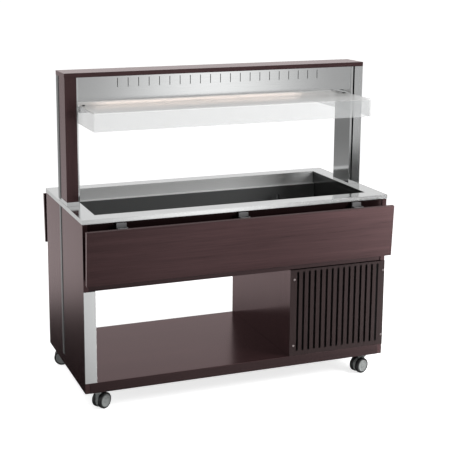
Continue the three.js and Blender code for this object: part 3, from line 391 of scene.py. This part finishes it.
for corner in CORNERS:
    LOOKS[f"end_panel_{corner}"] = WOOD_ALONG["z"]
    # The right corner posts, seen through the grille slots, are black as painted shade; the left ones
    # are steel
    LOOKS[f"corner_post_{corner}"] = UPRIGHT_STEEL if corner.startswith("left") else BLACK_PAINT
    LOOKS[f"castor_fork_{corner}"] = GREY_PLASTIC
    LOOKS[f"castor_wheels_{corner}"] = TYRE


def dress(piece, material):
    """One material on the whole piece."""
    piece.data.materials.clear()
    piece.data.materials.append(material)


for name, node in nodes.items():
    dress(node, LOOKS[name])


# ---------------------------------------------------------------- shape helpers

# Steps of a turned shape: a large one, and a small one
ROUND = 64
SMALL = 24


def to_piece(name, mesh_data, material, body, place=Matrix.Identity(4)):
    """A new object from a bmesh, put in place and riding on a body."""
    mesh = bpy.data.meshes.new(name)
    mesh_data.to_mesh(mesh)
    mesh_data.free()
    piece = bpy.data.objects.new(name, mesh)
    piece.matrix_world = place
    bpy.context.scene.collection.objects.link(piece)
    dress(piece, material)
    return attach(piece, body)


def lathe(mesh, profile, segments=ROUND):
    """Turns pairs of radius and height round the local X axis, heights along it. A profile that
    ends where it starts makes a ring."""
    looped = profile[0] == profile[-1]
    rings = []
    for radius, height in profile[:-1] if looped else profile:
        if radius == 0:
            rings.append([mesh.verts.new((height, 0, 0))])
            continue
        ring = []
        for step in range(segments):
            angle = 2 * math.pi * step / segments
            ring.append(mesh.verts.new((height, radius * math.cos(angle), radius * math.sin(angle))))
        rings.append(ring)
    if looped:
        rings.append(rings[0])
    for near, far in zip(rings, rings[1:]):
        for step in range(segments):
            after = (step + 1) % segments
            corners = [near[step % len(near)], near[after % len(near)],
                       far[after % len(far)], far[step % len(far)]]
            corners = list(dict.fromkeys(corners))
            if len(corners) > 2:
                mesh.faces.new(corners)


def slab(mesh, low, high, edge=0.0):
    """A box between two corners, with its edges rounded."""
    made = bmesh.ops.create_cube(mesh, size=1.0)["verts"]
    middle = (Vector(low) + Vector(high)) / 2
    size = Vector(high) - Vector(low)
    bmesh.ops.scale(mesh, vec=size, verts=made)
    bmesh.ops.translate(mesh, vec=middle, verts=made)
    if edge:
        edges = list({line for vert in made for line in vert.link_edges})
        round_edges(mesh, edges, edge)


def round_edges(mesh, edges, radius):
    bmesh.ops.bevel(mesh, geom=edges, offset=radius, segments=3, profile=0.5, affect="EDGES")


def face_outwards(mesh):
    bmesh.ops.recalc_face_normals(mesh, faces=mesh.faces)


def join_mesh(target, part):
    """Moves one bmesh into another."""
    copy = bpy.data.meshes.new("part")
    part.to_mesh(copy)
    target.from_mesh(copy)
    part.free()
    bpy.data.meshes.remove(copy)


def smooth(piece, angle=40):
    """Soft shading, with edges sharper than the angle kept crisp."""
    mesh = piece.data
    mesh.shade_smooth()
    mesh.set_sharp_from_angle(angle=math.radians(angle))
    return piece


def axis_frame(origin, axis):
    """A matrix whose X axis points along the given axis, with Z kept as upright as it can be."""
    x = Vector(axis).normalized()
    helper = Vector((0, 0, 1)) if abs(x.z) < 0.9 else Vector((0, 1, 0))
    y = helper.cross(x).normalized()
    z = x.cross(y)
    rotation = Matrix((x, y, z)).transposed().to_4x4()
    return Matrix.Translation(Vector(origin)) @ rotation


# ---------------------------------------------------------------- castors

WHEEL_R = 0.0375
WHEEL_INNER = 0.008
WHEEL_OUTER = 0.029
TREAD_OUTER = WHEEL_OUTER - 0.002
TREAD_ROUND = 0.004
SHOULDER = WHEEL_OUTER - 0.0035
TYRE_BACK = WHEEL_OUTER - 0.0065
TYRE_BORE = 0.006
DISC_R = 0.0285
DISC_STEP = 0.006
DISC_THICKNESS = 0.006
AXLE_R = 0.0038
AXLE_END = WHEEL_INNER + 0.002


def tyre_profile():
    """A rounded tread with a shallow shoulder towards the disc, and a bore."""
    turn = [math.radians(step * 15) for step in range(7)]
    centre = WHEEL_R - TREAD_ROUND
    outer = [(centre + TREAD_ROUND * math.sin(angle),
              TREAD_OUTER - TREAD_ROUND + TREAD_ROUND * math.cos(angle)) for angle in turn]
    inner = [(centre + TREAD_ROUND * math.cos(angle),
              WHEEL_INNER + TREAD_ROUND - TREAD_ROUND * math.sin(angle)) for angle in turn]
    start = (DISC_R, SHOULDER)
    return [start, *outer, *inner, (DISC_R - DISC_STEP, WHEEL_INNER), (TYRE_BORE, WHEEL_INNER),
            (TYRE_BORE, TYRE_BACK), (DISC_R, TYRE_BACK), start]


def disc_profile():
    """The grey disc: a flat back, a raised rim, a dished web and a hub cap."""
    face = WHEEL_OUTER
    return [
        (0.0, face - DISC_THICKNESS),
        (DISC_R + 0.0002, face - DISC_THICKNESS),
        (DISC_R, face - 0.001),
        (DISC_R - 0.0015, face - 0.0002),
        (DISC_R - 0.004, face - 0.0002),
        (DISC_R - DISC_STEP, face - 0.0022),
        (0.0125, face - 0.0026),
        (0.0105, face - 0.0008),
        (0.0085, face - 0.0001),
        (0.0, face),
    ]


def mirrored(profile):
    """The same profile on the other side of the castor's middle."""
    return [(radius, -height) for radius, height in reversed(profile)]


def add_castor(corner):
    """Two tyres, and two discs on one axle."""
    joint = joints[f"wheel_spin_{corner}"]
    place = axis_frame(joint["pos_m"], joint["axis"])
    tyres = bmesh.new()
    discs = bmesh.new()
    for profile, target in ((tyre_profile(), tyres), (disc_profile(), discs)):
        lathe(target, profile)
        lathe(target, mirrored(profile))
    lathe(discs, [(0.0, -AXLE_END), (AXLE_R, -AXLE_END), (AXLE_R, AXLE_END), (0.0, AXLE_END)], SMALL)
    for mesh in (tyres, discs):
        face_outwards(mesh)
    body = f"wheels_{corner}"
    tyre = smooth(to_piece(f"castor_tyres_{corner}", tyres, TYRE, body, place))
    disc = smooth(to_piece(f"castor_discs_{corner}", discs, DISC_PLASTIC, body, place))
    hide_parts(f"castor_wheels_{corner}")


for corner in CORNERS:
    add_castor(corner)


# ---------------------------------------------------------------- trims, fixings, lamp and controls

# The strips on the joints of the end panels and of the pillars: heights, and width
END_TRIM = (0.149, 0.873, 0.020)
PILLAR_TRIM = (0.905, 1.479, 0.036)
TRIM_AT = 0.043
TRIM_PROUD = 0.0016
GAP_WIDTH = 0.014
GAP_PROUD = 0.0006
GAP_CLEAR = 0.0005
LIFT = 0.0001
FINE_EDGE = 0.0002

GRILLE_SCREWS_X = (0.268, 0.738)
GRILLE_SCREWS_Z = (0.198, 0.523)
GRILLE_SCREW_R = 0.0055
GUARD_STUD_X = 0.657
GUARD_STUD_Y = 0.062
GUARD_STUD_R = 0.008

# Outlines of the black foam mats behind the grilles, painted shade in the slots, in x and z: the back
# one leaves the cord gland's corner free
FRONT_SHADE_MAT = [(0.266, 0.151), (0.690, 0.151), (0.690, 0.568), (0.266, 0.568)]
BACK_SHADE_MAT = [(0.312, 0.151), (0.690, 0.151), (0.690, 0.452), (0.266, 0.452),
               (0.266, 0.218), (0.312, 0.218)]
SHADE_MAT_GAP = 0.0015
SHADE_MAT_THICKNESS = 0.006
SHADE_MAT_EDGE = 0.001

# Black sheets behind the bridge's slots, as painted shade
SHADE_SHEET_X = 0.5
SHADE_SHEET_AT = 0.0735
SHADE_SHEET_THICKNESS = 0.001
SHADE_SHEET_HEIGHT = (1.434, 1.474)

LAMP_CAP = 0.012
LAMP_OVERLAP = 0.001
GLASS_INSET = 0.0004

KNOB_LIFT = 0.0002
KNOB_POINTER = 0.0015
KNOB_BORE_R = 0.0036
KNOB_BORE_DEPTH = 0.0085
KNOB_RIBS = 20
KNOB_RIB_DEPTH = 0.025
SCALE_MARKS = 10
SCALE_SWEEP = 270
SCALE_GAP = 0.0026
MARK_SINK = 0.0002
MARK_PROUD = 0.0003
RING_OUTER = 0.0019
RING_INNER = 0.0012


def add_joint_trims(side, sign):
    """The steel strip and the shadow gap beside it, on the joint down each end and its pillar."""
    strips = bmesh.new()
    gaps = bmesh.new()
    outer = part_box(f"end_panel_{side}_front")[1 if sign > 0 else 0].x
    for low, high, width in (END_TRIM, PILLAR_TRIM):
        for mesh, near, far, proud in ((strips, TRIM_AT, TRIM_AT + width, TRIM_PROUD),
                                       (gaps, TRIM_AT - GAP_WIDTH, TRIM_AT - GAP_CLEAR, GAP_PROUD)):
            ends = sorted((outer + sign * LIFT, outer + sign * proud))
            sides = sorted((-sign * near, -sign * far))
            slab(mesh, (ends[0], sides[0], low), (ends[1], sides[1], high), FINE_EDGE)
    steel = to_piece(f"joint_strips_{side}", strips, STRIP_STEEL, "cabinet")
    dark = to_piece(f"joint_gaps_{side}", gaps, BLACK_PLASTIC, "cabinet")


def screw_profile(radius):
    """A low pan head with a round socket."""
    return [
        (0.0, radius * 0.12), (radius * 0.42, radius * 0.12), (radius * 0.46, radius * 0.4),
        (radius * 0.72, radius * 0.36), (radius * 0.93, radius * 0.22), (radius, 0.0), (0.0, 0.0),
    ]


def add_screws(name, places, axis, radius, material):
    """Screw heads standing on a face, all looking along one axis."""
    heads = bmesh.new()
    for place in places:
        head = bmesh.new()
        lathe(head, screw_profile(radius), SMALL)
        bmesh.ops.transform(head, matrix=axis_frame(place, axis), verts=head.verts)
        join_mesh(heads, head)
    face_outwards(heads)
    smooth(to_piece(name, heads, material, "cabinet"), 35)


def add_grille_shade_mat(end, sign, outline):
    """A black foam mat close behind a grille's slots, as painted shade in them, from its outline in x
    and z.
    """
    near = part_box(f"grille_{end}")[0 if sign > 0 else 1].y - sign * SHADE_MAT_GAP
    mat = bmesh.new()
    face = mat.faces.new([mat.verts.new((x, near, z)) for x, z in outline])
    pulled = bmesh.ops.extrude_face_region(mat, geom=[face])["geom"]
    pulled = [part for part in pulled if isinstance(part, bmesh.types.BMVert)]
    bmesh.ops.translate(mat, vec=(0, -sign * SHADE_MAT_THICKNESS, 0), verts=pulled)
    face_outwards(mat)
    round_edges(mat, mat.edges[:], SHADE_MAT_EDGE)
    to_piece(f"grille_shade_mat_{end}", mat, PAINTED_SHADE_FOAM, "cabinet")


def add_bridge_shade_sheets():
    """Black sheets behind the ventilation slots of the bridge, as painted shade in the slots."""
    sheets = bmesh.new()
    for sign in (-1, 1):
        near, far = sorted((sign * SHADE_SHEET_AT, sign * (SHADE_SHEET_AT - SHADE_SHEET_THICKNESS)))
        slab(sheets, (-SHADE_SHEET_X, near, SHADE_SHEET_HEIGHT[0]), (SHADE_SHEET_X, far, SHADE_SHEET_HEIGHT[1]), FINE_EDGE)
    to_piece("bridge_shade_sheets", sheets, PAINTED_SHADE_FOAM, "cabinet")


def add_lamp():
    """The lamp's glass tube between two metal caps."""
    low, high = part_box("lamp_tube")
    middle = (low + high) / 2
    place = Matrix.Translation((low.x, middle.y, middle.z))
    length = high.x - low.x
    radius = (high.z - low.z) / 2
    glass = bmesh.new()
    start = LAMP_CAP - LAMP_OVERLAP
    end = length - start
    wide = radius - GLASS_INSET
    narrow = radius - 0.001
    lathe(glass, [(0, start), (narrow, start), (wide, start + 0.003),
                  (wide, end - 0.003), (narrow, end), (0, end)], 2 * SMALL)
    caps = bmesh.new()
    profile = [(0, 0), (radius - 0.0016, 0), (radius, 0.0016), (radius, LAMP_CAP - 0.0012),
               (radius - 0.0006, LAMP_CAP), (0, LAMP_CAP)]
    for at, way in ((0.0, 1), (length, -1)):
        lathe(caps, [(around, at + way * height) for around, height in profile], 2 * SMALL)
    for mesh in (glass, caps):
        face_outwards(mesh)
    tube = smooth(to_piece("lamp_glass_tube", glass, LOOKS["lamp_tube"], "cabinet", place))
    smooth(to_piece("lamp_caps", caps, ZINC, "cabinet", place))
    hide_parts("lamp_tube")


def add_knob():
    """A ribbed thermostat knob with a white pointer, and the raised marks on the panel round it."""
    low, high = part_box("thermostat_knob")
    radius = (high.x - low.x) / 2
    depth = high.y - low.y - KNOB_POINTER
    x, z = low.x + radius, low.z + radius
    knob = bmesh.new()
    bore = [(0, KNOB_BORE_DEPTH), (KNOB_BORE_R, KNOB_BORE_DEPTH), (KNOB_BORE_R, KNOB_LIFT)]
    skirt = [(radius, KNOB_LIFT), (radius, 0.0025), (radius - 0.0015, 0.004)]
    crown = [(radius - 0.0022, depth - 0.002), (radius - 0.0032, depth - 0.0004),
             (radius - 0.0045, depth), (0, depth)]
    lathe(knob, [*bore, *skirt, *crown], 6 * KNOB_RIBS)
    for vert in knob.verts:
        if 0.003 < vert.co.x < depth - 0.001 and vert.co.yz.length > radius / 2:
            wave = math.cos(KNOB_RIBS * math.atan2(vert.co.z, vert.co.y))
            vert.co.yz = vert.co.yz * (1 - KNOB_RIB_DEPTH * (1 + wave))
    face_outwards(knob)
    place = axis_frame((x, low.y, z), (0, 1, 0))
    cap = smooth(to_piece("thermostat_cap", knob, GREY_PLASTIC, "thermostat_knob", place), 50)
    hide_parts("thermostat_knob")
    pointer = bmesh.new()
    base = depth - MARK_SINK
    slab(pointer, (base, -0.0011, 0.003), (base + KNOB_POINTER, 0.0011, radius - 0.0036), FINE_EDGE)
    to_piece("thermostat_pointer", pointer, WHITE_PLASTIC, "thermostat_knob", place)
    scale = bmesh.new()
    start = radius + SCALE_GAP
    for step in range(SCALE_MARKS):
        mark = bmesh.new()
        reach = start + (0.002 if step % 2 else 0.0034)
        slab(mark, (-0.0004, -0.0005, start), (0.0004, 0.0001, reach))
        angle = math.radians(SCALE_SWEEP * step / (SCALE_MARKS - 1))
        turned = Matrix.Translation((x, low.y, z)) @ Matrix.Rotation(angle, 4, "Y")
        bmesh.ops.transform(mark, matrix=turned, verts=mark.verts)
        join_mesh(scale, mark)
    to_piece("thermostat_scale", scale, WHITE_PLASTIC, "cabinet")


def add_switch_marks(name):
    """A bar for on and a ring for off, raised on a rocker's two faces."""
    low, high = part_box(name)
    middle = (low + high) / 2
    marks = bmesh.new()
    for side in (-1, 1):
        above = Vector((middle.x, high.y + 0.01, middle.z + side * (high.z - low.z) / 4))
        place, normal = nodes[name].ray_cast(above, Vector((0, -1, 0)))[1:3]
        mark = bmesh.new()
        if side > 0:
            slab(mark, (-MARK_SINK, -0.0005, -0.0018), (MARK_PROUD, 0.0005, 0.0018))
        else:
            outer, inner = RING_OUTER, RING_INNER
            lathe(mark, [(outer, -MARK_SINK), (outer, MARK_PROUD), (inner, MARK_PROUD),
                         (inner, -MARK_SINK), (outer, -MARK_SINK)], SMALL)
        bmesh.ops.transform(mark, matrix=axis_frame(place, normal), verts=mark.verts)
        join_mesh(marks, mark)
    face_outwards(marks)
    to_piece(f"{name}_marks", marks, BLACK_PLASTIC, name)


for side, sign in zip(SIDES, (-1, 1)):
    add_joint_trims(side, sign)
for end, sign in zip(ENDS, (-1, 1)):
    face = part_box(f"grille_{end}")[1 if sign > 0 else 0].y
    places = [(x, face, z) for x in GRILLE_SCREWS_X for z in GRILLE_SCREWS_Z]
    add_screws(f"grille_screws_{end}", places, (0, sign, 0), GRILLE_SCREW_R, SCREW)
add_grille_shade_mat("front", -1, FRONT_SHADE_MAT)
add_grille_shade_mat("back", 1, BACK_SHADE_MAT)
add_bridge_shade_sheets()
add_lamp()
add_knob()
for name in ("power_switch", "light_switch"):
    add_switch_marks(name)
guard_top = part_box("sneeze_guard")[1].z
places = [(way * GUARD_STUD_X, side * GUARD_STUD_Y, guard_top) for way in (-1, 1) for side in (-1, 1)]
add_screws("guard_studs", places, (0, 0, 1), GUARD_STUD_R, BLACK_PLASTIC)


# ---------------------------------------------------------------- floor, light and camera

AMBIENT = 0.36
FLOOR_SIZE = 120
FLOOR_LIFT = 0.76

# How bright the room looks in a reflection. The ramps are pairs of height and level, where a height
# of 0 is a direction with z at ROOM_LOW, and 1 one with z at ROOM_HIGH.
ROOM_LOW = -0.4
ROOM_HIGH = 0.1
WALL_LEVEL = 0.92
BEHIND = ((0.0, 0.0), (0.15, 0.0), (0.19, 0.72), (0.25, 0.78), (0.5, 0.68), (0.8, 0.66), (1.0, 0.85))
FLANK = ((0.0, 0.0), (0.15, 0.0), (0.18, 2.0), (0.3, 1.6), (0.36, 0.5), (0.47, 0.27), (0.7, 0.45),
         (1.0, 1.0))
FRONT = ((0.0, 0.35), (0.08, 0.75), (0.2, 1.0), (0.3, 0.75), (0.36, 0.4), (0.42, 0.1), (0.46, 0.7),
         (0.65, 0.62), (0.85, 1.0))

# Patches of light in front of the object. The strip is a narrow one. Each of the others has a level,
# fades to the side (x over the distance ahead) and fades in height (z). A fade starts at its first
# number and is full at its second, and the shade's level is a share that it takes away.
STRIP_AT = 0.398
STRIP_HALF = 0.145
STRIP_LEVEL = 1.1
STRIP_TOP = (0.0, -0.06)
SOFTBOX = (8.5, ((0.45, 0.8), (2.0, 1.8)), ((-0.24, -0.27), (-0.39, -0.35)))
FILL = (0.9, ((0.42, 0.33),), ((-0.215, -0.19), (-0.15, -0.17)))
SHADE = (1.0, ((0.47, 0.53),), ((-0.17, -0.187), (-0.25, -0.235)))

# Where the parts of the room fade into each other, in x, y or z of the direction
FLANK_FADE = (-0.3, -0.42)
HORIZON_FADE = (-0.04, 0.04)
BEHIND_FADE = (-0.25, 0.25)
AHEAD_FADE = (-0.1, -0.4)
LEAST_AHEAD = 0.1


def floor():
    """A pale floor that looks white to the camera, and still takes the object's shadow."""
    bpy.ops.mesh.primitive_plane_add(size=FLOOR_SIZE)
    plane = bpy.context.object
    plane.name = "floor"
    look = Look("floor", Roughness=0.9, Base_Color=(0.8, 0.8, 0.8, 1))
    output = look.tree.nodes["Material Output"]
    path = look.add("ShaderNodeLightPath")
    lift = look.add("ShaderNodeEmission")
    lift.inputs["Strength"].default_value = FLOOR_LIFT
    both = look.add("ShaderNodeAddShader")
    look.link(look.surface.outputs[0], both.inputs[0])
    look.link(lift.outputs[0], both.inputs[1])
    seen = look.math("MAXIMUM", path.outputs["Is Camera Ray"], path.outputs["Is Transmission Ray"])
    open_air = look.add("ShaderNodeBsdfTransparent")
    surface = look.surface.outputs[0]
    glossy = path.outputs["Is Glossy Ray"]
    for factor, shader in ((seen, both.outputs[0]), (glossy, open_air.outputs[0])):
        choice = look.add("ShaderNodeMixShader")
        look.link(factor, choice.inputs[0])
        look.link(surface, choice.inputs[1])
        look.link(shader, choice.inputs[2])
        surface = choice.outputs[0]
    look.link(surface, output.inputs["Surface"])
    dress(plane, look.material)


def patch(graph, ahead, aside, z, light):
    """A soft-edged patch of the room in front of the object."""
    level, across, up = light
    fades = [graph.step(aside, *fade) for fade in across] + [graph.step(z, *fade) for fade in up]
    return graph.product(ahead, level, *fades)


def studio(graph):
    """How bright the room looks in a reflection, from its direction: a white wall, a floor that is
    lit in front of the object and falls into its shadow behind, and lights in front."""
    x, y, z = graph.split(graph.add("ShaderNodeTexCoord").outputs["Generated"])
    height = graph.step(z, ROOM_LOW, ROOM_HIGH, kind="LINEAR")
    behind, flank, front = (graph.ramp(height, *((position, grey(level)) for position, level in stops))
                            for stops in (BEHIND, FLANK, FRONT))
    behind = graph.mix(graph.step(x, *FLANK_FADE), behind, flank)
    behind = graph.math("MAXIMUM", behind, graph.step(z, *HORIZON_FADE, 0.0, WALL_LEVEL))
    towards = graph.step(y, *BEHIND_FADE)
    away = graph.math("SUBTRACT", 1.0, towards)
    level = graph.math("ADD", graph.product(behind, towards), graph.product(front, away))
    ahead = graph.step(y, *AHEAD_FADE)
    distance = graph.math("MAXIMUM", graph.math("MULTIPLY", y, -1.0), LEAST_AHEAD)
    aside = graph.math("DIVIDE", x, distance)
    off = graph.math("ABSOLUTE", graph.math("SUBTRACT", aside, STRIP_AT))
    strip = graph.product(ahead, graph.step(off, 0.0, STRIP_HALF, STRIP_LEVEL, 0.0),
                          graph.step(z, *STRIP_TOP))
    box, fill, shade = (patch(graph, ahead, aside, z, light) for light in (SOFTBOX, FILL, SHADE))
    level = graph.product(level, graph.math("SUBTRACT", 1.0, shade))
    for light in (strip, box, fill):
        level = graph.math("ADD", level, light)
    return level


def world():
    """White to the camera, the studio in reflections, and a plain soft light on the rest."""
    scene_world = bpy.data.worlds.new("studio")
    bpy.context.scene.world = scene_world
    scene_world.use_nodes = True
    graph = Graph(scene_world.node_tree)
    background = graph.tree.nodes["Background"]
    path = graph.add("ShaderNodeLightPath")
    seen = graph.math("MAXIMUM", path.outputs["Is Camera Ray"], path.outputs["Is Transmission Ray"])
    mirrored_ray = path.outputs["Is Glossy Ray"]
    other_ray = graph.math("SUBTRACT", 1.0, mirrored_ray)
    reflected = graph.product(studio(graph), mirrored_ray)
    rest = graph.product(graph.math("MAXIMUM", seen, AMBIENT), other_ray)
    graph.link(graph.math("ADD", reflected, rest), background.inputs["Strength"])
    background.inputs["Color"].default_value = (1, 1, 1, 1)


LAMP_TARGET = (0, 0, 0.8)


def area_lamp(name, place, size, power):
    """A square lamp aimed at the object, which no reflection shows."""
    light = bpy.data.lights.new(name, "AREA")
    light.shape = "SQUARE"
    light.size = size
    light.energy = power
    lamp = bpy.data.objects.new(name, light)
    lamp.location = place
    lamp.visible_glossy = False
    lamp.rotation_euler = (Vector(LAMP_TARGET) - Vector(place)).to_track_quat("-Z", "Y").to_euler()
    bpy.context.scene.collection.objects.link(lamp)


# Where the camera stands, its turns in degrees, and its lens: the focal length over the picture's
# width, both in pixels of the photograph, and the shift
CAMERA_PLACE = (-1.8552, -4.6655, 2.0068)
CAMERA_YAW = 19.37
CAMERA_PITCH = -10.96
CAMERA_ROLL = 0.16
FOCAL_SHARE = 1064.6 / 452
SHIFT = (0.12, -0.14)
SENSOR = 36
CLIP_END = 200


def camera():
    """The photograph's view: slightly from the left and above, through a mildly shifted lens."""
    data = bpy.data.cameras.new("camera")
    data.sensor_width = SENSOR
    data.lens = SENSOR * FOCAL_SHARE
    data.shift_x, data.shift_y = SHIFT
    data.clip_end = CLIP_END
    viewer = bpy.data.objects.new("camera", data)
    viewer.location = CAMERA_PLACE
    turn = Matrix.Rotation(math.radians(-CAMERA_YAW), 4, "Z")
    tilt = Matrix.Rotation(math.radians(90 + CAMERA_PITCH), 4, "X")
    roll = Matrix.Rotation(math.radians(-CAMERA_ROLL), 4, "Z")
    viewer.rotation_euler = (turn @ tilt @ roll).to_euler()
    bpy.context.scene.collection.objects.link(viewer)
    bpy.context.scene.camera = viewer


floor()
world()
area_lamp("key", (2.5, -2.2, 2.1), 1.4, 120)
area_lamp("fill", (-3.0, 1.0, 3.6), 2.0, 40)
camera()
bpy.context.scene.view_settings.view_transform = "Standard"
